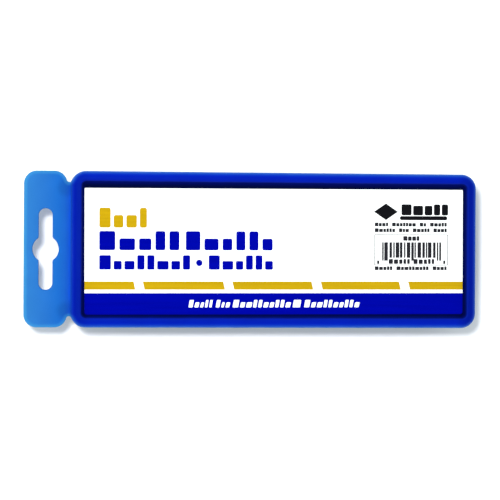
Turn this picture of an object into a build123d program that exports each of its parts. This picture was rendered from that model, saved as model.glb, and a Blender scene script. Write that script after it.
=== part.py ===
from build123d import *
import os

# A board eraser: a moulded blue case that is held in the hand, open below, with a pack of felt strips
# standing on edge inside it. The case's back is a shallow tray inside a rounded rim, and a printed label
# lies in the tray. A thin hang tab with a hook slot is moulded on at one end, and folds where the two
# notches narrow it.
#
# Frame, in millimetres: the origin is the centre of the wiping face, +X runs along the eraser away from
# the hang tab, +Z points up through the label. The eraser rests on its felt at Z = 0.

# Case
CASE_LENGTH = 152.0
CASE_WIDTH = 58.3
TOTAL_HEIGHT = 28.0
FELT_DROP = 8.0  # how far the felt stands out below the case
TAB_END_RADIUS = 5.7  # plan radius of the two corners beside the hang tab
FAR_END_RADIUS = 5.8
DRAFT_DEG = 1.0
WALL = 1.8
LIP_ROUND = 0.5  # the skirt's lower edge
RIM_SIDE_WIDTH = 3.95
RIM_END_WIDTH = 4.1
RIM_OUTER_ROUND = 2.6
RIM_INNER_ROUND = 0.9

# Label tray
TRAY_DEPTH = 2.2
TRAY_RADIUS = 2.0
TRAY_SLOPE_DEG = 12.0
TRAY_FLOOR_ROUND = 0.4
LABEL_LENGTH = 141.4
LABEL_WIDTH = 46.6
LABEL_THICKNESS = 0.25
LABEL_SHIFT_Y = -0.5  # the label lies a little nearer one long side
LABEL_TURN_DEG = 0.2  # and is stuck on very slightly turned
LABEL_CORNER = 0.3
LABEL_BAND_CORNER = 1.0  # the two corners on that side

# Stiffening ribs above the backing board, and the nubs that hold the board up against them
RIB_THICKNESS = 1.2
LONG_RIB_SPACING = 18.0
CROSS_RIB_COUNT = 5
CROSS_RIB_SPACING = 25.0
NUB_LENGTH = 8.0
NUB_HEIGHT = 1.2
NUB_REACH = 0.9
NUB_GAP = 0.05  # between a nub and the board above it
NUB_SPACING = 45.0

# Backing board and felt pack
STRIP_COUNT = 11
STRIP_THICKNESS = 4.7
STRIP_LENGTH = 143.5
STRIP_HEIGHT = 14.0
STRIP_CORNER = 0.4
GLUE_THICKNESS = 0.4
BOARD_THICKNESS = 2.0
BOARD_CLEARANCE = 0.28  # to the case's drafted wall, all round

# Hang tab
TAB_WIDTH = 57.8
TAB_REACH = 15.7  # from the fold line to the tab's outer edge
TAB_THICKNESS = 1.4
TAB_DROP = 5.5  # from the top of the rim to the middle of the tab's thickness
TAB_OUTER_RADIUS = 4.8
TAB_NOTCH_RADIUS = 4.6
TAB_NOTCH_OVERRUN = 0.2  # the notch arcs would close this far past the fold line
TAB_EDGE_ROUND = 0.35
FOLD_OFFSET = 1.3  # from the case's end to the fold line
FOLD_GAP = 0.15  # between the tab's round end and the case's root strip
ROOT_HALF_WIDTH = 24.6
SLOT_LENGTH = 30.0
SLOT_WIDTH = 5.0
SLOT_EYE_RADIUS = 4.8
SLOT_BLEND = 1.0
SLOT_REACH = 7.65  # from the fold line to the slot's centre line

# Levels and places that follow from them
MOUTH_LENGTH = CASE_LENGTH - 2 * RIM_END_WIDTH
MOUTH_WIDTH = CASE_WIDTH - 2 * RIM_SIDE_WIDTH
TRAY_FLOOR_Z = TOTAL_HEIGHT - TRAY_DEPTH
CEILING_Z = TRAY_FLOOR_Z - WALL
GLUE_Z = STRIP_HEIGHT
BOARD_Z = GLUE_Z + GLUE_THICKNESS
BOARD_TOP_Z = BOARD_Z + BOARD_THICKNESS
TAB_Z = TOTAL_HEIGHT - TAB_DROP
FOLD_X = -CASE_LENGTH / 2 - FOLD_OFFSET
OVERSHOOT = 5.0  # how far a cutting solid runs past the face that it cuts


def case_plan(inset):
    """The case's rounded plan shape, taken in by inset all round."""
    plan = Rectangle(CASE_LENGTH - 2 * inset, CASE_WIDTH - 2 * inset)
    plan = fillet(plan.vertices().group_by(Axis.X)[0], TAB_END_RADIUS - inset)
    plan = fillet(plan.vertices().group_by(Axis.X)[-1], FAR_END_RADIUS - inset)
    return plan


def drafted(inset, high_z):
    """A drafted block on the case's plan, from the skirt's lower edge up to high_z."""
    plan = Pos(0, 0, FELT_DROP) * case_plan(inset)
    return extrude(plan, high_z - FELT_DROP, taper=DRAFT_DEG)


def edges_at(shape, z):
    """The edges of shape that lie flat at height z."""
    return shape.edges().filter_by_position(Axis.Z, z - 0.01, z + 0.01)


def is_mouth(edge):
    """True for an edge of the tray's mouth, False for one of the rim's outer side."""
    middle = edge @ 0.5
    return abs(middle.X) <= MOUTH_LENGTH / 2 + 0.01 and abs(middle.Y) <= MOUTH_WIDTH / 2 + 0.01


def tray_cutter():
    """The shape taken out of the case's back, wider at the rim than at its floor."""
    plan = RectangleRounded(MOUTH_LENGTH, MOUTH_WIDTH, TRAY_RADIUS)
    cutter = extrude(Pos(0, 0, TOTAL_HEIGHT) * plan, -TRAY_DEPTH, taper=TRAY_SLOPE_DEG)
    return fillet(edges_at(cutter, TRAY_FLOOR_Z), TRAY_FLOOR_ROUND)


def rib_grid():
    """Ribs along and across the case, wider than it, from the board's top to the case's ceiling."""
    height = CEILING_Z - BOARD_TOP_Z
    middle = BOARD_TOP_Z + height / 2
    along = [
        Pos(0, side * LONG_RIB_SPACING / 2, middle)
        * Box(CASE_LENGTH, RIB_THICKNESS, height)
        for side in (-1, 1)
    ]
    first = -CROSS_RIB_SPACING * (CROSS_RIB_COUNT - 1) / 2
    across = [
        Pos(first + n * CROSS_RIB_SPACING, 0, middle)
        * Box(RIB_THICKNESS, CASE_WIDTH, height)
        for n in range(CROSS_RIB_COUNT)
    ]
    return Compound(along + across)


def wall_nub(reach_from):
    """One wedge-shaped nub on the +Y wall, its flat top just under the backing board."""
    top = BOARD_Z - NUB_GAP
    root = reach_from + WALL / 2
    profile = Polyline(
        (0, root, top),
        (0, reach_from - NUB_REACH, top),
        (0, reach_from, top - NUB_HEIGHT),
        (0, root, top - NUB_HEIGHT),
        close=True,
    )
    return extrude(make_face(profile), NUB_LENGTH / 2, dir=(1, 0, 0), both=True)


def nubs():
    """Three nubs on each long wall and one on each end wall."""
    long_wall = CASE_WIDTH / 2 - WALL
    end_wall = CASE_LENGTH / 2 - WALL
    found = []
    for turn in (0, 180):
        for x in (-NUB_SPACING, 0, NUB_SPACING):
            found.append(Rot(0, 0, turn) * Pos(x, 0, 0) * wall_nub(long_wall))
        found.append(Rot(0, 0, turn + 90) * wall_nub(end_wall))
    return found


def root_strip():
    """The short strip that joins the case's end to the fold line."""
    start = FOLD_X + TAB_THICKNESS / 2 + FOLD_GAP
    length = -CASE_LENGTH / 2 + WALL - start
    return Pos(start + length / 2, 0, TAB_Z) * Box(
        length, 2 * ROOT_HALF_WIDTH, TAB_THICKNESS
    )


def case():
    """The moulded case: drafted skirt, rounded rim, label tray, ribs, nubs and the tab's root strip."""
    body = drafted(0, TOTAL_HEIGHT)
    body = fillet(edges_at(body, TOTAL_HEIGHT), RIM_OUTER_ROUND)
    body -= tray_cutter()
    body = fillet([edge for edge in edges_at(body, TOTAL_HEIGHT) if is_mouth(edge)], RIM_INNER_ROUND)
    cavity = drafted(WALL, CEILING_Z)
    body -= cavity
    body = fillet(edges_at(body, FELT_DROP), LIP_ROUND)
    body += cavity & rib_grid()
    for nub in nubs():
        body += nub
    body += root_strip()
    return body


def label():
    """The printed paper label, stuck to the tray's floor."""
    plan = Rectangle(LABEL_LENGTH, LABEL_WIDTH)
    plan = fillet(plan.vertices().group_by(Axis.Y)[0], LABEL_BAND_CORNER)
    plan = fillet(plan.vertices().group_by(Axis.Y)[-1], LABEL_CORNER)
    place = Pos(0, LABEL_SHIFT_Y, TRAY_FLOOR_Z) * Rot(0, 0, LABEL_TURN_DEG)
    return extrude(place * plan, LABEL_THICKNESS)


def backing_board():
    """The stiff board that the felt is glued to, a sliding fit inside the skirt."""
    top = drafted(WALL, BOARD_TOP_Z).faces().sort_by(Axis.Z)[-1]
    return extrude(offset(top, -BOARD_CLEARANCE), -BOARD_THICKNESS, dir=(0, 0, 1))


def felt_glue():
    """The film of hot-melt glue between the board and the tops of the felt strips."""
    width = STRIP_COUNT * STRIP_THICKNESS
    return Pos(0, 0, GLUE_Z + GLUE_THICKNESS / 2) * Box(
        STRIP_LENGTH, width, GLUE_THICKNESS
    )


def felt_strip(number):
    """One felt strip standing on edge; number 0 is the one at -Y."""
    y = (number - (STRIP_COUNT - 1) / 2) * STRIP_THICKNESS
    strip = Pos(0, y, STRIP_HEIGHT / 2) * Box(
        STRIP_LENGTH, STRIP_THICKNESS, STRIP_HEIGHT
    )
    return fillet(strip.edges().filter_by(Axis.Z), STRIP_CORNER)


def hook_slot():
    """The plan of the hook slot: a long slot across the tab with a round eye in its middle."""
    slot = Rot(0, 0, 90) * SlotOverall(SLOT_LENGTH, SLOT_WIDTH)
    plan = slot + Circle(SLOT_EYE_RADIUS)
    meeting = [
        corner
        for corner in plan.vertices()
        if abs(abs(corner.X) - SLOT_WIDTH / 2) < 0.01
        and abs(corner.Y) < SLOT_EYE_RADIUS
    ]
    return fillet(meeting, SLOT_BLEND)


def hang_tab():
    """The flat tab beyond the fold line, with its hook slot and a round inner end along the fold."""
    outline = Rectangle(TAB_REACH + TAB_NOTCH_OVERRUN, TAB_WIDTH)
    outline = fillet(outline.vertices().group_by(Axis.X)[0], TAB_OUTER_RADIUS)
    outline = fillet(outline.vertices().group_by(Axis.X)[-1], TAB_NOTCH_RADIUS)
    outline = Pos((TAB_NOTCH_OVERRUN - TAB_REACH) / 2, 0, 0) * outline
    outline -= Pos(-SLOT_REACH, 0, 0) * hook_slot()
    plate = extrude(
        Pos(0, 0, -TAB_THICKNESS / 2) * outline, TAB_THICKNESS, dir=(0, 0, 1)
    )
    rims = edges_at(plate, TAB_THICKNESS / 2) + edges_at(plate, -TAB_THICKNESS / 2)
    plate = fillet(rims, TAB_EDGE_ROUND)
    beyond = Box(
        OVERSHOOT,
        2 * TAB_WIDTH,
        OVERSHOOT,
        align=(Align.MIN, Align.CENTER, Align.CENTER),
    )
    plate -= beyond
    past_arc = TAB_NOTCH_RADIUS - TAB_NOTCH_OVERRUN
    notch_rise = (TAB_NOTCH_RADIUS**2 - past_arc**2) ** 0.5
    neck_half = TAB_WIDTH / 2 - TAB_NOTCH_RADIUS + notch_rise
    knuckle = Rot(90, 0, 0) * Cylinder(TAB_THICKNESS / 2, 2 * neck_half)
    return Pos(FOLD_X, 0, TAB_Z) * (plate + knuckle)


def main():
    nodes = {
        "case": case(),
        "hang_tab": hang_tab(),
        "label": label(),
        "backing_board": backing_board(),
        "felt_glue": felt_glue(),
    }
    for number in range(STRIP_COUNT):
        nodes[f"felt_strip_{number + 1:02d}"] = felt_strip(number)
    os.makedirs("parts", exist_ok=True)
    for name, shape in nodes.items():
        export_step(shape, f"parts/{name}.step")


main()
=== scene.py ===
import math
import random

import bmesh
import bpy
import numpy as np
from mathutils import Matrix, Vector, noise
from mathutils.geometry import delaunay_2d_cdt


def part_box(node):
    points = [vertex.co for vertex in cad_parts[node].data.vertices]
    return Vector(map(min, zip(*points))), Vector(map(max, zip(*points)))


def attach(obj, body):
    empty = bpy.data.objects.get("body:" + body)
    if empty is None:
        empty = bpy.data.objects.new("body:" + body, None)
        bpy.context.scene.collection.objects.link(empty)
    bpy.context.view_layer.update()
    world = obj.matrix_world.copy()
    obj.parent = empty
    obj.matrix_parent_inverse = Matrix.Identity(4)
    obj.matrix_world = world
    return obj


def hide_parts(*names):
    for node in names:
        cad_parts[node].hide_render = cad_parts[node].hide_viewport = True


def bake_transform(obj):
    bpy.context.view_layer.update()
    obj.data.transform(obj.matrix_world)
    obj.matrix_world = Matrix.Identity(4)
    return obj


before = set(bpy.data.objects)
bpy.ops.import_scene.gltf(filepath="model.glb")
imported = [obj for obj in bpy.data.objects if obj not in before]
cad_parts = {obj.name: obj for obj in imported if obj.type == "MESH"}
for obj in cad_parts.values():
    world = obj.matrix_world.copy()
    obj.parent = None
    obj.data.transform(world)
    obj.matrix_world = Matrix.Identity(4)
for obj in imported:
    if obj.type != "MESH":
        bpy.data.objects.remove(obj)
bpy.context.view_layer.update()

# A board eraser: a blue moulded case with a printed label in its tray, felt strips below, and a thin hang
# tab. Lengths here are millimetres in the frame's axes: the origin is the centre of the wiping face, +X
# runs away from the hang tab, +Z up through the label. Meshes and lights are made in metres.

MM = 0.001

# Camera
CAMERA_TARGET = (-8.92, 0.04, 20.0)
CAMERA_DISTANCE = 700.0
CAMERA_TILT = -0.29  # degrees about X
CAMERA_LEAN = -5.96  # degrees about Y, towards the hang tab
CAMERA_ROLL = 0.35  # degrees about the line of sight
CAMERA_LENS = 134.68  # focal length

# Light
KEY_PLACE = (-143.0, 88.0, 730.0)
KEY_AIM = (0.0, 0.0, 20.0)
KEY_RADIUS = 44.0
KEY_POWER = 5.4  # watts
WORLD_TINT = (0.91, 1.0, 1.02, 1.0)
WORLD_HORIZON = 1.25  # the room's strength at the horizon
WORLD_ZENITH = 0.54  # and straight above
WORLD_DIM_FROM = 0.1  # the room dims from this height up, on a scale where the zenith is 1
WORLD_LEAN = 0.12  # how much brighter the -Y side of the room is
FLOOR_RINGS = (60.0, 160.0, 400.0, 1000.0, 4000.0)
FLOOR_SIDES = 96
FLOOR_GAP = 0.05  # below the felt, so that the two faces never coincide
FLOOR_GLOW_SPAN = (150.0, 900.0)  # from the middle out
FLOOR_GLOW = 0.5


def node_box(name):
    """A node's lowest and highest corners, in millimetres."""
    low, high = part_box(name)
    return Vector(low) / MM, Vector(high) / MM


_, CASE_HIGH = node_box("case")
_, LABEL_HIGH = node_box("label")
TAB_LOW, TAB_HIGH = node_box("hang_tab")

# Case, as its surface colours need it
CASE_HALF_LENGTH = CASE_HIGH.x
CASE_HALF_WIDTH = CASE_HIGH.y
TAB_END_RADIUS = 5.7
FAR_END_RADIUS = 5.8
WALL_LEAN = 0.25  # how far the drafted wall has come in at the hang tab's height

# Hang tab
TAB_MIDDLE_Z = (TAB_LOW.z + TAB_HIGH.z) / 2
TAB_HALF_THICKNESS = (TAB_HIGH.z - TAB_LOW.z) / 2
TAB_HALF_WIDTH = TAB_HIGH.y
TAB_OUTER_X = TAB_LOW.x
TAB_OUTER_RADIUS = 4.8
FOLD_X = -77.3
FOLD_SPREAD = 0.9  # how far the closer columns reach on each side of the fold line
NOTCH_RADIUS = 4.6
NOTCH_X = -81.7
NOTCH_ROOT_RADIUS = 1.0
ROOT_FILLET = 1.2
ROOT_DEPTH = 1.1  # how far the tab's root runs on inside the case wall
ROOT_COLUMNS = (0.0, 0.04, 0.1, 0.18, 0.28, 0.4, 0.55, 0.72)  # out from the wall, for the fillet
ROOT_ROW_STEP = 0.6
TAB_EDGE_ROUND = 0.45
TAB_EDGE_STEPS = 4
SLOT_X = -84.95
SLOT_HALF_LENGTH = 15.0
SLOT_HALF_WIDTH = 2.5
EYE_RADIUS = 4.8
EYE_BLEND = 1.0
GROOVE_DEPTH = 0.4  # on the underside, along the fold line
GROOVE_WIDTH = 0.7
OUTLINE_STEP = 0.3
GRID_STEP = 1.4
GRID_HALF_WIDTH = 28.0
NECK_HALF_WIDTH = 26.0
FOLD_COLUMN_STEP = 0.16
FOLD_ROW_STEP = 0.9
OPEN_CLEARANCE = 0.45  # the least gap between an outline and a grid point
NECK_CLEARANCE = 0.14  # and the same near the fold and the root


# ---------------------------------------------------------------- meshes


def new_piece(name, points, faces, smooth=True):
    """A mesh object from points in millimetres."""
    mesh = bpy.data.meshes.new(name)
    mesh.from_pydata([tuple(point) for point in np.asarray(points, float) * MM], [], faces)
    mesh.validate()
    mesh.polygons.foreach_set("use_smooth", [smooth] * len(mesh.polygons))
    mesh.update()
    piece = bpy.data.objects.new(name, mesh)
    bpy.context.collection.objects.link(piece)
    return piece


def finish_piece(piece, material, body):
    """Gives a piece its material and the body it rides on, if it rides on one."""
    piece.data.materials.append(material)
    if body:
        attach(piece, body)


def add_attribute(piece, name, kind, values):
    """Stores one value for each vertex: kind is FLOAT or FLOAT_VECTOR."""
    attribute = piece.data.attributes.new(name, kind, "POINT")
    field = "value" if kind == "FLOAT" else "vector"
    attribute.data.foreach_set(field, np.asarray(values, np.float32).ravel())


def arc(centre, radius, start, end, step=OUTLINE_STEP):
    """Points along an arc, both ends included, with angles in degrees."""
    count = max(2, math.ceil(abs(math.radians(end - start)) * radius / step))
    angles = np.radians(np.linspace(start, end, count + 1))
    return [(centre[0] + radius * math.cos(a), centre[1] + radius * math.sin(a)) for a in angles]


def angle_to(centre, point):
    """The direction from centre to point, in degrees."""
    return math.degrees(math.atan2(point[1] - centre[1], point[0] - centre[0]))


def refined(points):
    """A closed outline with points about OUTLINE_STEP apart, and none that nearly coincide."""
    found = []
    for start, end in zip(points, points[1:] + points[:1]):
        gap = math.dist(start, end)
        if gap < OUTLINE_STEP * 0.2:
            continue
        count = max(1, round(gap / OUTLINE_STEP))
        for n in range(count):
            share = n / count
            found.append(tuple(s + (e - s) * share for s, e in zip(start, end)))
    return found


def mirrored(half):
    """A closed outline from its +Y half, which starts and ends on the X axis or crosses it square."""
    return half + [(x, -y) for x, y in reversed(half) if y > 0]


# ---------------------------------------------------------------- shader graphs


class Graph:
    """A material's node tree. Inputs may be sockets, numbers or colours."""

    def __init__(self, name):
        self.material = bpy.data.materials.new(name)
        self.material.use_nodes = True
        self.tree = self.material.node_tree
        self.tree.nodes.clear()

    def node(self, kind, **settings):
        made = self.tree.nodes.new("ShaderNode" + kind)
        for name, value in settings.items():
            setattr(made, name, value)
        return made

    def feed(self, socket, value):
        if isinstance(value, bpy.types.NodeSocket):
            self.tree.links.new(value, socket)
        else:
            socket.default_value = value

    def math(self, operation, *values):
        made = self.node("Math", operation=operation)
        for socket, value in zip(made.inputs, values):
            self.feed(socket, value)
        return made.outputs[0]

    def position(self):
        """Object coordinates in millimetres."""
        scaled = self.node("VectorMath", operation="SCALE")
        self.feed(scaled.inputs[0], self.node("TexCoord").outputs["Object"])
        scaled.inputs["Scale"].default_value = 1 / MM
        return scaled.outputs[0]

    def split(self, vector):
        made = self.node("SeparateXYZ")
        self.feed(made.inputs[0], vector)
        return made.outputs

    def stretched(self, vector, scale):
        made = self.node("VectorMath", operation="MULTIPLY")
        self.feed(made.inputs[0], vector)
        made.inputs[1].default_value = scale
        return made.outputs[0]

    def attribute(self, name, output="Fac"):
        return self.node("Attribute", attribute_name=name).outputs[output]

    def noise(self, vector, size, detail=3.0, roughness=0.5, distortion=0.0):
        """Noise from 0 to 1 whose main lumps are about size millimetres across."""
        made = self.node("TexNoise")
        self.feed(made.inputs["Vector"], vector)
        made.inputs["Scale"].default_value = 1 / size
        made.inputs["Detail"].default_value = detail
        made.inputs["Roughness"].default_value = roughness
        made.inputs["Distortion"].default_value = distortion
        return made.outputs[0]

    def span(self, value, low, high, to_low=0.0, to_high=1.0, smooth=False):
        """value, taken from low..high to to_low..to_high and held at the ends."""
        made = self.node("MapRange", interpolation_type="SMOOTHSTEP" if smooth else "LINEAR")
        self.feed(made.inputs["Value"], value)
        made.inputs["From Min"].default_value = low
        made.inputs["From Max"].default_value = high
        made.inputs["To Min"].default_value = to_low
        made.inputs["To Max"].default_value = to_high
        return made.outputs[0]

    def ramp(self, value, stops):
        """A colour looked up from (place, colour) stops, blended between them."""
        first, last = stops[0][0], stops[-1][0]
        made = self.node("ValToRGB")
        elements = made.color_ramp.elements
        for number, (place, colour) in enumerate(stops):
            share = (place - first) / (last - first)
            element = elements[number] if number < 2 else elements.new(share)
            element.position = share
            element.color = (*colour, 1.0)
        self.feed(made.inputs[0], self.span(value, first, last))
        return made.outputs[0]

    def mix(self, share, first, second):
        made = self.node("Mix", data_type="RGBA")
        self.feed(made.inputs[0], share)
        for socket, value in ((made.inputs[6], first), (made.inputs[7], second)):
            self.feed(socket, (*value, 1.0) if isinstance(value, tuple) else value)
        return made.outputs[2]

    def shade(self, colour, value, low, high):
        """colour darkened or lightened by a value from 0 to 1."""
        made = self.node("VectorMath", operation="SCALE")
        self.feed(made.inputs[0], colour)
        self.feed(made.inputs["Scale"], self.span(value, 0.0, 1.0, low, high))
        return made.outputs[0]

    def bump(self, height, depth, before=None):
        """A surface normal from a height of 0 to 1 that stands for depth millimetres."""
        made = self.node("Bump")
        self.feed(made.inputs["Height"], height)
        made.inputs["Distance"].default_value = depth * MM
        if before is not None:
            self.feed(made.inputs["Normal"], before)
        return made.outputs[0]

    def surface(self, **inputs):
        """Ends the graph in a Principled shader, and returns the material."""
        shader = self.node("BsdfPrincipled")
        for name, value in inputs.items():
            socket = shader.inputs[name.replace("_", " ")]
            if socket.type == "RGBA" and isinstance(value, tuple):
                value = (*value, 1.0)
            self.feed(socket, value)
        output = self.node("OutputMaterial")
        self.tree.links.new(shader.outputs[0], output.inputs[0])
        return self.material


# ---------------------------------------------------------------- materials

# Case colours by distance in from its outer outline, over the rim and down into the tray. They carry
# painted light: paler near the outline for a painted reflection and painted light let through the thin
# shoulder, a painted highlight at the rim's inner edge, and painted shade darkening down into the tray.
RIM_COLOURS = [
    # painted reflection and painted light let through the thin shoulder, fading in
    (0.0, (0.0600, 0.2200, 0.480)),
    (0.5, (0.0160, 0.1000, 0.390)),
    (1.0, (0.0035, 0.0400, 0.350)),
    (1.6, (0.0006, 0.0140, 0.320)),
    (2.2, (0.0002, 0.0068, 0.285)),
    (3.3, (0.0003, 0.0055, 0.250)),
    # a painted highlight along the rim's inner edge
    (3.8, (0.0014, 0.0085, 0.250)),
    # from here in, painted shade down into the tray
    (4.1, (0.0008, 0.0050, 0.150)),
    (4.5, (0.0003, 0.0018, 0.075)),
    (5.0, (0.0002, 0.0013, 0.046)),
    (5.6, (0.0002, 0.0010, 0.022)),
]

# Case wall colours by height, from the lip up
WALL_COLOURS = [
    (8.0, (0.0070, 0.0550, 0.420)),
    (8.9, (0.0020, 0.0260, 0.360)),
    (19.0, (0.0014, 0.0200, 0.335)),
    (25.5, (0.0020, 0.0270, 0.365)),
]

# Wall colours give way to rim colours over this height, and over this distance in
SHOULDER_Z = (24.8, 26.1)
SHOULDER_INSET = (2.5, 3.2)

# Painted shade: the end rims are coloured a little darker, the far one most
END_RIM_X = (68.0, 73.0)
END_RIM_INSET = (0.4, 1.8)
END_RIM_PAINTED_SHADE = 0.82
FAR_RIM_PAINTED_SHADE = 0.85

# The tray floor is rougher than the rim
TRAY_INSET = (3.5, 4.1)
TRAY_ROUGHNESS = (0.5, 0.95)

# Where the hang tab joins the case, the rim's outer edge goes without its painted pale edge of reflected
# and let-through light
NECK_X = (-72.5, -73.5)
NECK_Y = (25.0, 23.5)
NECK_DEPTH = 0.6

# Hang tab colours by distance in from its outer edge: pale for painted light let through the thin tab
# from the floor below, darker towards the case
TAB_COLOURS = [
    (0.0, (0.0300, 0.1700, 0.385)),
    (1.6, (0.0200, 0.1300, 0.370)),
    (8.0, (0.0145, 0.1090, 0.368)),
    (12.6, (0.0080, 0.0950, 0.368)),
    (15.0, (0.0072, 0.0800, 0.362)),
    (16.3, (0.0055, 0.0620, 0.370)),
    (17.0, (0.0040, 0.0600, 0.460)),
]

# Painted shade round a place beside each notch, in the crease where the tab meets the case
NOTCH_SHADE_X = -77.6
NOTCH_SHADE_Y = 22.6
NOTCH_SHADE_REACH = (1.5, 4.5)
NOTCH_SHADE = 0.82

# Painted edge light: the tab is paler towards its cut edge, over this distance from it, for the
# reflection and the light let through its thin rounded edge
TAB_EDGE_PAINTED_LIGHT = (0.035, 0.210, 0.430)
TAB_EDGE_REACH = (1.5, 0.1)
TAB_EDGE_LIGHT_SHARE = 0.8

PLASTIC_SHINE = 0.1
PLASTIC_TINT = (0.08, 0.35, 1.0)  # what the plastic reflects is tinted, too
INK_SHINE = 0.02
INK_TONES = (1.28, 0.72)  # the ink's colour where it lies thin, and where it lies thick


def moulded_marks(graph, place):
    """Roughness and normal of satin moulded plastic: fine texture, sink marks and light scuffs."""
    grain = graph.noise(place, 0.25, detail=4.0)
    sinks = graph.noise(place, 9.0, detail=2.0)
    scuffs = graph.noise(graph.stretched(place, (0.25, 2.5, 1.0)), 1.6, detail=5.0, roughness=0.7)
    marks = graph.span(scuffs, 0.56, 0.72)
    roughness = graph.math("MULTIPLY_ADD", marks, 0.10, graph.span(sinks, 0.3, 0.7, 0.50, 0.58))
    normal = graph.bump(grain, 0.012, graph.bump(sinks, 0.25))
    return roughness, normal


def case_plastic():
    """Deep blue moulded polyethylene, with painted light in its colours: painted reflection and painted
    light let through along the thin rounded shoulder, a painted highlight at the rim's inner edge,
    painted shade in the tray and on the end rims.
    """
    graph = Graph("case_blue_plastic")
    place = graph.position()
    x, y, z = graph.split(place)
    at_tab_end = graph.math("LESS_THAN", x, 0.0)
    radius = graph.math("MULTIPLY_ADD", at_tab_end, TAB_END_RADIUS - FAR_END_RADIUS, FAR_END_RADIUS)
    past = []
    for part, half in ((x, CASE_HALF_LENGTH), (y, CASE_HALF_WIDTH)):
        beyond = graph.math("SUBTRACT", graph.math("ABSOLUTE", part), half)
        past.append(graph.math("ADD", beyond, radius))
    corner_x, corner_y = (graph.math("MAXIMUM", value, 0.0) for value in past)
    squares = graph.math("MULTIPLY_ADD", corner_x, corner_x, graph.math("MULTIPLY", corner_y, corner_y))
    inner = graph.math("MINIMUM", graph.math("MAXIMUM", *past), 0.0)
    outward = graph.math("ADD", graph.math("SQRT", squares), inner)
    inset = graph.math("SUBTRACT", radius, outward)
    across = graph.math("ABSOLUTE", y)
    # no painted pale edge light at the neck: the rim colours start further in there
    at_neck = graph.math("MULTIPLY", graph.span(x, *NECK_X), graph.span(across, *NECK_Y))
    wander = graph.span(graph.noise(place, 6.0), 0.0, 1.0, -0.12, 0.12)
    depth = graph.math("MULTIPLY_ADD", at_neck, NECK_DEPTH, graph.math("ADD", inset, wander))
    # the rim colours carry painted light on the shoulder, at the inner edge and painted shade in the tray
    colour = graph.ramp(depth, RIM_COLOURS)
    risen = graph.span(z, *SHOULDER_Z, smooth=True)
    shoulder = graph.math("MAXIMUM", risen, graph.span(inset, *SHOULDER_INSET))
    wall = graph.ramp(graph.math("ADD", z, graph.math("MULTIPLY", wander, 2.0)), WALL_COLOURS)
    colour = graph.mix(shoulder, wall, colour)
    colour = graph.shade(colour, graph.noise(place, 14.0, detail=2.0), 0.90, 1.10)
    # painted shade on the end rims, the far one darkest
    on_rim = graph.span(inset, *END_RIM_INSET)
    for along, darkest in ((graph.math("ABSOLUTE", x), END_RIM_PAINTED_SHADE), (x, FAR_RIM_PAINTED_SHADE)):
        share = graph.math("MULTIPLY", graph.span(along, *END_RIM_X), on_rim)
        colour = graph.shade(colour, share, 1.0, darkest)
    roughness, normal = moulded_marks(graph, place)
    roughness = graph.math("MAXIMUM", roughness, graph.span(inset, *TRAY_INSET, *TRAY_ROUGHNESS))
    return graph.surface(
        Base_Color=colour,
        Roughness=roughness,
        Normal=normal,
        Specular_IOR_Level=PLASTIC_SHINE,
        Specular_Tint=PLASTIC_TINT,
    )


def tab_plastic():
    """The same plastic, made pale by painted light let through the thin tab from the floor below, paler
    still along its cut edge for painted edge light, with painted shade beside each notch.
    """
    graph = Graph("tab_blue_plastic")
    place = graph.attribute("rest", "Vector")
    x, y, _ = graph.split(place)
    from_edge = graph.math("SUBTRACT", x, TAB_OUTER_X)
    wander = graph.span(graph.noise(place, 5.0), 0.0, 1.0, -0.5, 0.5)
    # pale for painted light let through the thin tab, darker towards the case
    colour = graph.ramp(graph.math("ADD", from_edge, wander), TAB_COLOURS)
    # painted edge light along the cut edge
    edge = graph.math("ADD", graph.attribute("edge"), graph.math("MULTIPLY", wander, 0.3))
    rim = graph.span(edge, *TAB_EDGE_REACH, 0.0, TAB_EDGE_LIGHT_SHARE)
    colour = graph.mix(rim, colour, TAB_EDGE_PAINTED_LIGHT)
    colour = graph.shade(colour, graph.noise(place, 7.0, detail=2.0), 0.93, 1.07)
    # painted shade beside each notch
    past_x = graph.math("ADD", x, -NOTCH_SHADE_X)
    past_y = graph.math("SUBTRACT", graph.math("ABSOLUTE", y), NOTCH_SHADE_Y)
    squares = graph.math("MULTIPLY_ADD", past_x, past_x, graph.math("MULTIPLY", past_y, past_y))
    reach = graph.math("ADD", graph.math("SQRT", squares), wander)
    colour = graph.shade(colour, graph.span(reach, *NOTCH_SHADE_REACH, smooth=True), NOTCH_SHADE, 1.0)
    roughness, normal = moulded_marks(graph, place)
    return graph.surface(
        Base_Color=colour,
        Roughness=roughness,
        Normal=normal,
        Specular_IOR_Level=PLASTIC_SHINE,
        Specular_Tint=PLASTIC_TINT,
    )


def label_paper():
    """White coated paper with a faint fibre texture."""
    graph = Graph("label_paper")
    place = graph.position()
    fibres = graph.noise(graph.stretched(place, (1.0, 3.0, 1.0)), 0.5, detail=5.0, roughness=0.65)
    clouds = graph.noise(place, 7.0, detail=3.0)
    colour = graph.mix(clouds, (0.83, 0.83, 0.825), (0.87, 0.868, 0.86))
    colour = graph.shade(colour, fibres, 0.97, 1.02)
    normal = graph.bump(fibres, 0.01, graph.bump(clouds, 0.05))
    roughness = graph.span(fibres, 0.3, 0.7, 0.34, 0.46)
    return graph.surface(Base_Color=colour, Roughness=roughness, Normal=normal, Specular_IOR_Level=0.25)


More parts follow.
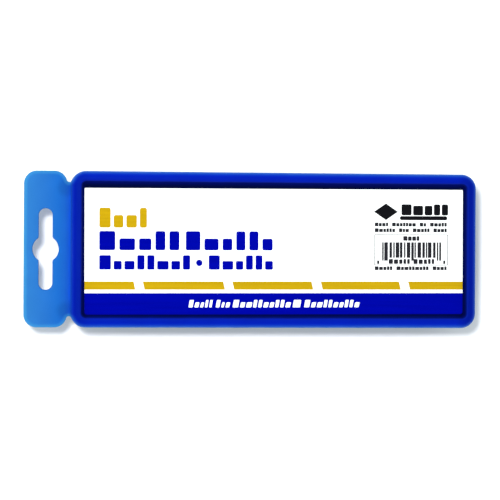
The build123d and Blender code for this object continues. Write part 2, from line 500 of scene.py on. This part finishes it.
def ink(name, colour):
    """Printed ink with the slight mottle of solid areas, whose reflections keep its own hue."""
    graph = Graph(name)
    place = graph.position()
    mottle = graph.noise(place, 0.6, detail=5.0, roughness=0.7)
    streaks = graph.noise(graph.stretched(place, (0.04, 1.0, 1.0)), 1.3, detail=2.0)
    tone = graph.math("MULTIPLY_ADD", mottle, 0.3, graph.math("MULTIPLY", streaks, 0.7))
    thin, thick = (tuple(part * share for part in colour) for share in INK_TONES)
    shaded = graph.mix(tone, thin, thick)
    roughness = graph.span(mottle, 0.3, 0.7, 0.48, 0.62)
    hue = tuple(part / max(colour) for part in colour)
    return graph.surface(
        Base_Color=shaded,
        Roughness=roughness,
        Normal=graph.bump(mottle, 0.004),
        Specular_IOR_Level=INK_SHINE,
        Specular_Tint=hue,
    )


def felt(name, dark, light, sheen):
    """Wool felt: matted fibres in several tones, with a soft sheen."""
    graph = Graph(name)
    place = graph.position()
    matted = graph.noise(place, 1.1, detail=6.0, roughness=0.75, distortion=1.2)
    drawn = graph.stretched(place, (0.35, 1.0, 1.4))
    threads = graph.noise(drawn, 0.5, detail=5.0, roughness=0.8, distortion=2.0)
    ridges = graph.math("ABSOLUTE", graph.math("SUBTRACT", threads, 0.5))
    fibre = graph.span(ridges, 0.0, 0.09, 1.0, 0.0)
    middle = tuple((low + high) / 2 for low, high in zip(dark, light))
    colour = graph.ramp(matted, [(0.25, dark), (0.5, middle), (0.75, light)])
    colour = graph.mix(graph.math("MULTIPLY", fibre, 0.62), colour, light)
    colour = graph.shade(colour, graph.noise(place, 8.0, detail=2.0), 0.88, 1.12)
    normal = graph.bump(fibre, 0.14, graph.bump(matted, 0.45))
    roughness = graph.span(matted, 0.2, 0.8, 0.88, 1.0)
    return graph.surface(
        Base_Color=colour,
        Roughness=roughness,
        Normal=normal,
        Specular_IOR_Level=0.1,
        Sheen_Weight=sheen,
        Sheen_Roughness=0.6,
    )


def fibreboard():
    """Grey-brown pressed board."""
    graph = Graph("backing_fibreboard")
    place = graph.position()
    flecks = graph.noise(graph.stretched(place, (0.5, 1.0, 3.0)), 0.8, detail=6.0, roughness=0.75)
    tones = [(0.3, (0.16, 0.11, 0.07)), (0.5, (0.27, 0.20, 0.13)), (0.7, (0.40, 0.31, 0.21))]
    colour = graph.ramp(flecks, tones)
    roughness = graph.span(flecks, 0.3, 0.7, 0.8, 0.95)
    return graph.surface(Base_Color=colour, Roughness=roughness, Normal=graph.bump(flecks, 0.08))


def hot_glue():
    """Cloudy amber hot-melt glue."""
    graph = Graph("felt_glue")
    place = graph.position()
    blobs = graph.noise(place, 2.2, detail=3.0)
    colour = graph.mix(blobs, (0.55, 0.43, 0.22), (0.72, 0.62, 0.40))
    roughness = graph.span(blobs, 0.3, 0.7, 0.25, 0.5)
    return graph.surface(Base_Color=colour, Roughness=roughness, Normal=graph.bump(blobs, 0.3))


def dress_node(name, material):
    """Gives a CAD node a material in all its slots."""
    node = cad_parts[name]
    if not node.data.materials:
        node.data.materials.append(material)
    for slot in node.material_slots:
        slot.material = material


# ---------------------------------------------------------------- hang tab


def wall_x(y):
    """Where the case's end wall stands at the tab's height, rounding off towards its corners."""
    radius = TAB_END_RADIUS - WALL_LEAN
    straight = CASE_HALF_WIDTH - TAB_END_RADIUS
    past = np.clip(np.abs(y) - straight, 0.0, radius)
    return -CASE_HALF_LENGTH + TAB_END_RADIUS - np.sqrt(radius**2 - past**2)


def notch_root():
    """The centre of the small round that joins the notch's arc to the case's corner."""
    notch = Vector((NOTCH_X, TAB_HALF_WIDTH - NOTCH_RADIUS))
    corner = Vector((-CASE_HALF_LENGTH + TAB_END_RADIUS, CASE_HALF_WIDTH - TAB_END_RADIUS))
    reach = NOTCH_RADIUS + NOTCH_ROOT_RADIUS
    other = TAB_END_RADIUS - WALL_LEAN + NOTCH_ROOT_RADIUS
    gap = (corner - notch).length
    along = (reach**2 - other**2 + gap**2) / (2 * gap)
    across = math.sqrt(reach**2 - along**2)
    direction = (corner - notch) / gap
    return notch + direction * along + Vector((-direction.y, direction.x)) * across


def tab_outline():
    """The tab's plan, from the middle of its outer edge round to its root inside the case wall."""
    outer = (TAB_OUTER_X + TAB_OUTER_RADIUS, TAB_HALF_WIDTH - TAB_OUTER_RADIUS)
    notch = (NOTCH_X, TAB_HALF_WIDTH - NOTCH_RADIUS)
    corner = (-CASE_HALF_LENGTH + TAB_END_RADIUS, CASE_HALF_WIDTH - TAB_END_RADIUS)
    root = notch_root()
    half = [(TAB_OUTER_X, 0.0)]
    half += arc(outer, TAB_OUTER_RADIUS, 180, 90)
    half += arc(notch, NOTCH_RADIUS, 90, angle_to(notch, root))
    half += arc(root, NOTCH_ROOT_RADIUS, angle_to(root, notch), angle_to(root, corner))
    inward = (Vector(corner) - root).normalized()
    turn = Vector(half[-1]) + inward * ROOT_DEPTH / 2
    facing = math.degrees(math.atan2(inward.y, inward.x))
    half += arc(turn, ROOT_DEPTH / 2, facing + 180, facing)
    half.append((half[-1][0], 0.0))
    return mirrored(half)


def slot_outline():
    """The hook slot's plan: a long slot with a round eye in its middle."""
    blend_x = SLOT_HALF_WIDTH + EYE_BLEND
    blend_y = math.sqrt((EYE_RADIUS + EYE_BLEND) ** 2 - blend_x**2)
    turn = math.degrees(math.atan2(blend_y, blend_x))
    end_y = SLOT_HALF_LENGTH - SLOT_HALF_WIDTH
    quarter = arc((0, 0), EYE_RADIUS, 0, turn)
    quarter += arc((blend_x, blend_y), EYE_BLEND, turn + 180, 180)
    quarter += arc((0, end_y), SLOT_HALF_WIDTH, 0, 90)
    half = quarter + [(-x, y) for x, y in reversed(quarter) if x > 1e-6]
    return [(x + SLOT_X, y) for x, y in mirrored(half)]


def inward_normals(loop, hole):
    """Unit directions from a closed outline into the material."""
    points = np.array(loop)
    along = np.roll(points, -1, axis=0) - np.roll(points, 1, axis=0)
    normals = np.stack([-along[:, 1], along[:, 0]], axis=1)
    normals /= np.linalg.norm(normals, axis=1)[:, None]
    area = np.sum(points[:, 0] * np.roll(points[:, 1], -1) - np.roll(points[:, 0], -1) * points[:, 1])
    return normals * (1 if (area > 0) != hole else -1)


def inside(points, loop):
    """Which points lie inside a closed outline."""
    points, loop = np.asarray(points, float), np.asarray(loop, float)
    found = np.zeros(len(points), bool)
    for start, end in zip(loop, np.roll(loop, -1, axis=0)):
        spans = (start[1] > points[:, 1]) != (end[1] > points[:, 1])
        rise = end[1] - start[1] or 1e-12
        cut = start[0] + (points[:, 1] - start[1]) / rise * (end[0] - start[0])
        found ^= spans & (points[:, 0] < cut)
    return found


def distance_to(points, loop):
    """The distance from each point to the nearest point of an outline."""
    points, loop = np.asarray(points, float), np.asarray(loop, float)
    found = np.full(len(points), 1e9)
    for place in loop:
        found = np.minimum(found, np.hypot(points[:, 0] - place[0], points[:, 1] - place[1]))
    return found


def rows(half_width, step):
    """Places across the tab, from one side to the other."""
    return np.arange(-half_width, half_width + 0.1, step)


def fill_points(outer, hole):
    """Points inside the tab's flat faces: an open grid, closer columns at the fold and the root."""
    fold_start = FOLD_X - FOLD_SPREAD - 0.3
    columns = np.arange(TAB_OUTER_X + 1.0, FOLD_X - FOLD_SPREAD - 0.5, GRID_STEP)
    found = [(x, y) for x in columns for y in rows(GRID_HALF_WIDTH, GRID_STEP)]
    fold = np.arange(fold_start, FOLD_X + FOLD_SPREAD - 0.25, FOLD_COLUMN_STEP)
    found += [(x, y) for x in fold for y in rows(NECK_HALF_WIDTH, FOLD_ROW_STEP)]
    root_rows = rows(NECK_HALF_WIDTH, ROOT_ROW_STEP)
    found += [(float(wall_x(y)) - gap, y) for gap in ROOT_COLUMNS for y in root_rows]
    found = np.array(found)
    keep = inside(found, outer) & ~inside(found, hole)
    found = found[keep]
    clear = np.where(found[:, 0] < fold_start, OPEN_CLEARANCE, NECK_CLEARANCE)
    return found[(distance_to(found, outer) > clear) & (distance_to(found, hole) > clear)]


def tab_height(points, side, level):
    """Heights of the tab's upper (side 1) or lower (side -1) face.

    level is how far the edge round has risen.
    """
    gap = np.clip(wall_x(points[:, 1]) - points[:, 0], 0.0, ROOT_FILLET)
    flare = ROOT_FILLET - np.sqrt(ROOT_FILLET**2 - (ROOT_FILLET - gap) ** 2)
    height = TAB_HALF_THICKNESS - TAB_EDGE_ROUND + level + flare
    if side < 0:
        height = height - GROOVE_DEPTH * np.exp(-(((points[:, 0] - FOLD_X) / GROOVE_WIDTH) ** 2))
    return TAB_MIDDLE_Z + side * height


def tab_sides(loops, plan, heights, faces):
    """Adds the rounded sides of the tab's outline and slot.

    Returns, for the upper (1) and lower (-1) face, each loop's rim as its first index and its plan.
    """
    steps = np.linspace(0.0, math.pi / 2, TAB_EDGE_STEPS + 1)
    insets = TAB_EDGE_ROUND * (1 - np.cos(steps))
    levels = TAB_EDGE_ROUND * np.sin(steps)
    flat_rims = {1: [], -1: []}
    for number, loop in enumerate(loops):
        inward = inward_normals(loop, hole=number == 1)
        rings = []
        for side, order in ((-1, range(TAB_EDGE_STEPS, -1, -1)), (1, range(TAB_EDGE_STEPS + 1))):
            for step in order:
                ring = np.array(loop) + inward * insets[step]
                first = len(plan)
                plan.extend(ring)
                heights.extend(tab_height(ring, side, levels[step]))
                rings.append(first)
                if step == TAB_EDGE_STEPS:
                    flat_rims[side].append((first, ring))
        count = len(loop)
        for low, high in zip(rings, rings[1:]):
            for n in range(count):
                after = (n + 1) % count
                faces.append((low + n, low + after, high + after, high + n))
    return flat_rims


def tab_flat(side, rims, plan, heights, faces):
    """Adds the tab's flat upper (side 1) or lower (side -1) face, between its two rims."""
    (first_outer, outer), (first_hole, hole) = rims
    extra = fill_points(outer, hole)
    flat = np.vstack([outer, hole, extra])
    edges = []
    start = 0
    for ring in (outer, hole):
        edges += [(start + n, start + (n + 1) % len(ring)) for n in range(len(ring))]
        start += len(ring)
    result = delaunay_2d_cdt([Vector(p) for p in flat], edges, [], 0, 1e-6, False)
    triangles = [tri for tri in result[2] if len(set(tri)) == 3]
    middles = np.array([flat[list(tri)].mean(axis=0) for tri in triangles])
    keep = inside(middles, outer) & ~inside(middles, hole)
    first_extra = len(plan)
    plan.extend(extra)
    heights.extend(tab_height(extra, side, TAB_EDGE_ROUND))
    index = list(range(first_outer, first_outer + len(outer)))
    index += list(range(first_hole, first_hole + len(hole)))
    index += list(range(first_extra, first_extra + len(extra)))
    for tri, kept in zip(triangles, keep):
        if kept:
            faces.append(tuple(index[corner] for corner in tri))


def hang_tab():
    """The whole tab as one skin, from its outer edge through the fold into the case wall."""
    loops = [refined(tab_outline()), refined(slot_outline())]
    plan, heights, faces = [], [], []
    flat_rims = tab_sides(loops, plan, heights, faces)
    for side in (1, -1):
        tab_flat(side, flat_rims[side], plan, heights, faces)
    points = np.column_stack([np.array(plan), heights])
    piece = new_piece("hang_tab_skin", points, faces)
    orient_outward(piece)
    cut_edge = [p for p in loops[0] if p[0] < float(wall_x(p[1])) - 0.3]
    add_attribute(piece, "rest", "FLOAT_VECTOR", points)
    add_attribute(piece, "edge", "FLOAT", distance_to(points[:, :2], cut_edge))
    finish_piece(piece, tab_plastic(), None)
    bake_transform(piece)
    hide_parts("hang_tab")


def orient_outward(piece):
    """Turns every face of a closed mesh outward."""
    work = bmesh.new()
    work.from_mesh(piece.data)
    bmesh.ops.recalc_face_normals(work, faces=work.faces)
    work.to_mesh(piece.data)
    work.free()


# ---------------------------------------------------------------- label print

# Places on the label are millimetres right of its left edge and down from its top edge. Its middle lies a
# little off the case's, and it is turned a little, as the CAD label is.
LABEL_LENGTH = 141.4
LABEL_WIDTH = 46.6
LABEL_SHIFT_Y = -0.5
LABEL_TURN = math.radians(0.2)
INK_HEIGHT = 0.02

# Small print: the lines' left and right ends, then the framed panel's sides and its bars
SMALL_LEFT = 108.0
SMALL_RIGHT = 135.5
SMALL_HEIGHT = 1.4
PANEL_LEFT = 107.9
PANEL_TOP = 16.8
PANEL_RIGHT = 135.8
PANEL_BOTTOM = 28.3
PANEL_LINE = 0.22
BARS_LEFT = 110.8
BARS_RIGHT = 133.2
LAST_BAR_LEFT = 132.8
BARS_TOP = 19.7
BARS_FOOT = 25.5

# Bars run down past the others if they are the first two, start in the middle span or start past the end
LONG_FOOT = 26.6
LONG_MIDDLE = (121.3, 122.6)
LONG_END = 131.2

# Inks
GOLD = (0.400, 0.248, 0.004)
BLUE = (0.0002, 0.0015, 0.237)
BLACK = (0.004, 0.004, 0.005)
GREY = (0.014, 0.014, 0.017)
WHITE = (0.80, 0.80, 0.80)


def on_label(u, v):
    """The place u to the right of the label's left edge and v below its top edge."""
    right, up = u - LABEL_LENGTH / 2, LABEL_WIDTH / 2 - v
    cosine, sine = math.cos(LABEL_TURN), math.sin(LABEL_TURN)
    return right * cosine - up * sine, LABEL_SHIFT_Y + right * sine + up * cosine


def block(left, top, right, bottom, corner=0.0, slant=0.0, top_corner=None):
    """A plain block with rounded corners, its lower edge shifted right by slant."""
    low = min(corner, (right - left) / 2, (bottom - top) / 2)
    high = low if top_corner is None else top_corner
    points = []
    for u, v, radius, start in (
        (right - high, top + high, high, 0),
        (left + high, top + high, high, 90),
        (left + low, bottom - low, low, 180),
        (right - low, bottom - low, low, 270),
    ):
        turned = arc((0, 0), radius, start, start + 90, radius * 0.25) if radius else [(0, 0)]
        points += [(u + x, v - y) for x, y in turned]
    lean = slant / (bottom - top)
    return [on_label(u + (v - top) * lean, v) for u, v in points]


def disc(u, v, radius):
    """A round dot."""
    return [on_label(u + x, v - y) for x, y in arc((0, 0), radius, 0, 360, radius * 0.3)[:-1]]


def printed(name, shapes, material, level=0):
    """One piece of print: flat inked shapes standing just proud of the paper."""
    base = LABEL_HIGH.z + level * INK_HEIGHT
    points, faces = [], []
    for shape in shapes:
        count = len(shape)
        first = len(points)
        points += [(x, y, base) for x, y in shape] + [(x, y, base + INK_HEIGHT) for x, y in shape]
        faces.append(tuple(range(first + count, first + 2 * count)))
        faces.append(tuple(range(first + count - 1, first - 1, -1)))
        for n in range(count):
            after = (n + 1) % count
            faces.append((first + n, first + after, first + count + after, first + count + n))
    piece = new_piece(name, points, faces, smooth=False)
    orient_outward(piece)
    finish_piece(piece, material, "eraser")


def word(left, right, top, middle, bottom, count, gap, slant=0.0):
    """Plain blocks in place of a word's letters. Tall ones reach up to top, and low ones to middle."""
    tall = [n % 4 in (0, 3) for n in range(count)]
    weights = [1.2]  # the first block is widest, other tall ones are narrow, and low ones vary
    for n in range(1, count):
        weights.append(0.75 if tall[n] else 1.0 + 0.2 * math.sin(2.4 * n + count))
    room = right - left - gap * (count - 1)
    blocks = []
    u = left
    for n, weight in enumerate(weights):
        width = room * weight / sum(weights)
        rise = top if tall[n] else middle
        blocks.append(block(u, rise, u + width, bottom, 0.16 * (bottom - middle), slant))
        u += width + gap
    return blocks


def maker_mark():
    """A plain diamond beside a row of blocks over a bar: a mark that stands for no maker."""
    corners = ((112.2, 5.2), (107.7, 8.3), (112.2, 11.4), (116.7, 8.3))
    diamond = [on_label(u, v) for u, v in corners]
    bar = block(117.5, 9.9, 135.5, 11.4, 0.7)
    return [diamond] + word(118.1, 135.8, 5.5, 6.0, 9.6, 5, 0.6) + [bar]


def plain_bars():
    """Upright bars of three widths with gaps of four widths, in turn, so that they say nothing."""
    bars = []
    left = BARS_LEFT
    number = 0
    while left < LAST_BAR_LEFT:
        width = 0.58 + 0.40 * (number * 5 % 3)
        is_long = number < 2 or LONG_MIDDLE[0] < left < LONG_MIDDLE[1] or left > LONG_END
        foot = LONG_FOOT if is_long else BARS_FOOT
        bars.append(block(left, BARS_TOP, min(left + width, BARS_RIGHT), foot))
        left += width + 0.22 + 0.12 * (number * 7 % 4)
        number += 1
    return bars


def small_print():
    """Lines of tiny blocks above and below a framed panel of plain upright bars."""
    shapes = []
    for top, words in ((12.35, (4, 7, 2, 5)), (14.5, (6, 3, 5, 4)), (28.7, (5, 9, 4))):
        places = sum(words) + len(words) - 1
        pitch = (SMALL_RIGHT - SMALL_LEFT) / places
        start = SMALL_LEFT
        for count in words:
            end = start + count * pitch - 0.2
            shapes += word(start, end, top, top + 0.15, top + SMALL_HEIGHT, count, 0.2)
            start += (count + 1) * pitch
    inner_top, inner_bottom = PANEL_TOP + PANEL_LINE, PANEL_BOTTOM - PANEL_LINE
    shapes.append(block(PANEL_LEFT, PANEL_TOP, PANEL_RIGHT, inner_top))
    shapes.append(block(PANEL_LEFT, inner_bottom, PANEL_RIGHT, PANEL_BOTTOM))
    shapes.append(block(PANEL_LEFT, inner_top, PANEL_LEFT + PANEL_LINE, inner_bottom))
    shapes.append(block(PANEL_RIGHT - PANEL_LINE, inner_top, PANEL_RIGHT, inner_bottom))
    shapes += word(118.8, 124.9, 17.4, 17.5, 19.1, 4, 0.22)
    shapes += plain_bars()
    for start, end in ((113.3, 121.3), (122.7, 130.6)):
        shapes += word(start, end, 25.95, 26.1, 27.8, 5, 0.4)
    for start, end in ((108.9, 109.7), (134.0, 134.8)):
        shapes.append(block(start, 26.5, end, 27.8, 0.2))
    return shapes


def label_print():
    """All the inked shapes of the label, with every word and mark replaced by plain blocks."""
    gold = ink("ink_gold", GOLD)
    blue = ink("ink_blue", BLUE)
    black = ink("ink_black", BLACK)
    length, width = LABEL_LENGTH, LABEL_WIDTH
    printed("print_heading", word(5.4, 22.9, 7.2, 9.9, 14.55, 4, 1.1), gold)
    title = []
    for left, right, top, middle, bottom, count, gap in (
        (5.4, 34.9, 15.8, 18.5, 22.85, 5, 1.5),
        (37.3, 69.6, 15.8, 18.5, 22.85, 6, 1.5),
        (5.4, 38.9, 24.7, 26.8, 30.0, 8, 1.0),
        (45.8, 69.7, 24.7, 26.8, 30.0, 6, 1.0),
    ):
        title += word(left, right, top, middle, bottom, count, gap)
    printed("print_title", title + [disc(42.3, 27.5, 1.2)], blue)
    dashes = []
    for left, right in ((0.0, 18.0), (21.4, 51.2), (54.6, 84.2), (87.7, 117.2), (120.7, length)):
        lean = 0.7 if left else 0.0
        corners = ((left, 34.4), (left + lean, 37.4), (min(right + 0.7, length), 37.4), (right, 34.4))
        dashes.append([on_label(u, v) for u, v in corners])
    printed("print_stripe", dashes, gold)
    printed("print_band", [block(0.0, 38.7, length, width, 0.95, top_corner=0.0)], blue)
    tagline = []
    words = ((38.8, 47.4, 5), (48.9, 53.9, 3), (55.2, 76.6, 10), (77.6, 80.4, 1), (81.9, 102.4, 10))
    for left, right, count in words:
        tagline += word(left, right, 41.2, 42.1, 44.0, count, 0.62, -0.5)
    printed("print_tagline", tagline, ink("ink_white", WHITE), level=1)
    printed("print_maker", maker_mark(), black)
    printed("print_small", small_print(), ink("ink_grey", GREY))


# ---------------------------------------------------------------- felt

FELT_CELLS = (180, 8, 20)  # along each strip's x, y and z
FELT_ROUNDING = 0.7
FELT_SUNK = 0.16  # how far the uneven surface lies inside the plain strip, on the whole
FELT_BROAD = 0.10  # and how much that changes from place to place, broadly
FELT_LUMPS = 0.11  # in small lumps
FELT_END = 0.25  # and at the strip's two ends
FELT_LEAST = 0.02  # no part of the surface lies closer to the plain strip's than this
FELT_SETTLE = 0.12  # the most that a strip's wiping face stands back
FELT_SEED_STEP = 40.0  # between one strip's noise and the next


def grid_box(low, high, cells):
    """The points and faces of a box's surface, cut into cells, as lattice points on its six sides."""
    index, points, faces = {}, [], []

    def corner(i, j, k):
        key = (i, j, k)
        if key not in index:
            index[key] = len(points)
            points.append([low[a] + (high[a] - low[a]) * key[a] / cells[a] for a in range(3)])
        return index[key]

    for axis in range(3):
        one, two = (axis + 1) % 3, (axis + 2) % 3
        for side in (0, cells[axis]):
            for a in range(cells[one]):
                for b in range(cells[two]):
                    quad = []
                    for da, db in ((0, 0), (1, 0), (1, 1), (0, 1)):
                        key = [0, 0, 0]
                        key[axis], key[one], key[two] = side, a + da, b + db
                        quad.append(corner(*key))
                    faces.append(tuple(quad if side else reversed(quad)))
    return np.array(points), faces


def felt_strip(number, material):
    """One felt strip in place of its plain node: rounded, matted and a little uneven."""
    name = f"felt_strip_{number:02d}"
    low, high = (np.array(corner) for corner in node_box(name))
    points, faces = grid_box(low, high, FELT_CELLS)
    core = np.clip(points, low + FELT_ROUNDING, high - FELT_ROUNDING)
    out = points - core
    length = np.maximum(np.linalg.norm(out, axis=1), 1e-9)
    out = out / length[:, None]
    settle = random.Random(number).uniform(0.0, 1.0)
    moved = []
    for way, middle in zip(out, core):
        seed = Vector(middle + way * FELT_ROUNDING) + Vector((0, 0, FELT_SEED_STEP * number))
        broad = noise.noise(seed / 9.0)
        lumps = noise.fractal(seed / 1.7, 0.8, 2.2, 4)
        sunk = FELT_SUNK + FELT_BROAD * broad + FELT_LUMPS * lumps
        sunk += FELT_END * abs(way[0]) * (0.5 + noise.noise(seed / 2.5))
        moved.append(middle + way * (FELT_ROUNDING - max(FELT_LEAST, sunk)))
    points = np.array(moved)
    points[:, 2] += (high[2] - points[:, 2]) / (high[2] - low[2]) * FELT_SETTLE * settle
    piece = new_piece(name.replace("strip", "pad"), points, faces)
    finish_piece(piece, material, "eraser")
    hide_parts(name)


def felt_pack():
    """Eleven strips, alternately charcoal and pale grey."""
    dark = felt("felt_charcoal", (0.018, 0.019, 0.022), (0.085, 0.088, 0.095), 0.15)
    light = felt("felt_pale_grey", (0.26, 0.26, 0.265), (0.55, 0.55, 0.55), 0.25)
    for number in range(1, 12):
        odd = number % 2 == 1
        felt_strip(number, dark if odd else light)


# ---------------------------------------------------------------- stage


def add_object(name, data):
    """Links a new object to the scene."""
    made = bpy.data.objects.new(name, data)
    bpy.context.collection.objects.link(made)
    return made


def make_camera():
    """The camera, nearly straight above the label."""
    data = bpy.data.cameras.new("camera")
    data.lens = CAMERA_LENS
    camera = add_object("camera", data)
    turn = Matrix.Rotation(math.radians(CAMERA_LEAN), 4, "Y")
    turn @= Matrix.Rotation(math.radians(CAMERA_TILT), 4, "X")
    turn @= Matrix.Rotation(math.radians(CAMERA_ROLL), 4, "Z")
    target = Matrix.Translation(Vector(CAMERA_TARGET) * MM)
    camera.matrix_world = target @ turn @ Matrix.Translation((0, 0, CAMERA_DISTANCE * MM))
    bpy.context.scene.camera = camera


def make_key_light():
    """One soft round light above, a little beyond the tab end."""
    data = bpy.data.lights.new("key", "AREA")
    data.shape = "DISK"
    data.size = 2 * KEY_RADIUS * MM
    data.energy = KEY_POWER
    light = add_object("key", data)
    light.location = Vector(KEY_PLACE) * MM
    aim = Vector(KEY_AIM) * MM - light.location
    light.rotation_euler = aim.to_track_quat("-Z", "Y").to_euler()


def make_world():
    """A white room, dimmer overhead and a little brighter on the -Y side."""
    world = bpy.data.worlds.new("room")
    bpy.context.scene.world = world
    world.use_nodes = True
    tree = world.node_tree
    tree.nodes.clear()
    way = tree.nodes.new("ShaderNodeTexCoord")
    parts = tree.nodes.new("ShaderNodeSeparateXYZ")
    tree.links.new(way.outputs["Generated"], parts.inputs[0])
    overhead = tree.nodes.new("ShaderNodeMapRange")
    overhead.inputs["From Min"].default_value = WORLD_DIM_FROM
    overhead.inputs["To Min"].default_value = WORLD_HORIZON
    overhead.inputs["To Max"].default_value = WORLD_ZENITH
    tree.links.new(parts.outputs["Z"], overhead.inputs["Value"])
    lean = tree.nodes.new("ShaderNodeMath")
    lean.operation = "MULTIPLY_ADD"
    lean.inputs[1].default_value = -WORLD_LEAN
    tree.links.new(parts.outputs["Y"], lean.inputs[0])
    tree.links.new(overhead.outputs[0], lean.inputs[2])
    background = tree.nodes.new("ShaderNodeBackground")
    background.inputs["Color"].default_value = WORLD_TINT
    output = tree.nodes.new("ShaderNodeOutputWorld")
    tree.links.new(lean.outputs[0], background.inputs["Strength"])
    tree.links.new(background.outputs[0], output.inputs[0])


def make_floor():
    """A wide pale floor, glowing a little far out so that it meets the white room."""
    points = [(0.0, 0.0, -FLOOR_GAP)]
    faces = []
    for ring, radius in enumerate(FLOOR_RINGS):
        start = len(points)
        circle = arc((0, 0), radius, 0, 360, radius * math.tau / FLOOR_SIDES)[:-1]
        points += [(x, y, -FLOOR_GAP) for x, y in circle]
        inner = start - FLOOR_SIDES
        for n in range(FLOOR_SIDES):
            after = (n + 1) % FLOOR_SIDES
            if ring == 0:
                faces.append((0, start + n, start + after))
            else:
                faces.append((inner + n, start + n, start + after, inner + after))
    floor = new_piece("floor", points, faces)
    graph = Graph("floor_white")
    place = graph.position()
    x, y, _ = graph.split(place)
    away = graph.math("SQRT", graph.math("MULTIPLY_ADD", x, x, graph.math("MULTIPLY", y, y)))
    glow = graph.span(away, *FLOOR_GLOW_SPAN, 0.0, FLOOR_GLOW)
    colour = graph.mix(graph.noise(place, 30.0), (0.87, 0.87, 0.87), (0.89, 0.89, 0.89))
    floor.data.materials.append(
        graph.surface(
            Base_Color=colour,
            Roughness=0.9,
            Specular_IOR_Level=0.0,
            Emission_Color=(1.0, 1.0, 1.0),
            Emission_Strength=glow,
        )
    )


def main():
    """Dresses the frame and sets the stage."""
    make_camera()
    make_key_light()
    make_world()
    make_floor()
    dress_node("case", case_plastic())
    dress_node("label", label_paper())
    dress_node("backing_board", fibreboard())
    dress_node("felt_glue", hot_glue())
    hang_tab()
    label_print()
    felt_pack()
    bpy.context.scene.view_settings.view_transform = "Standard"


main()
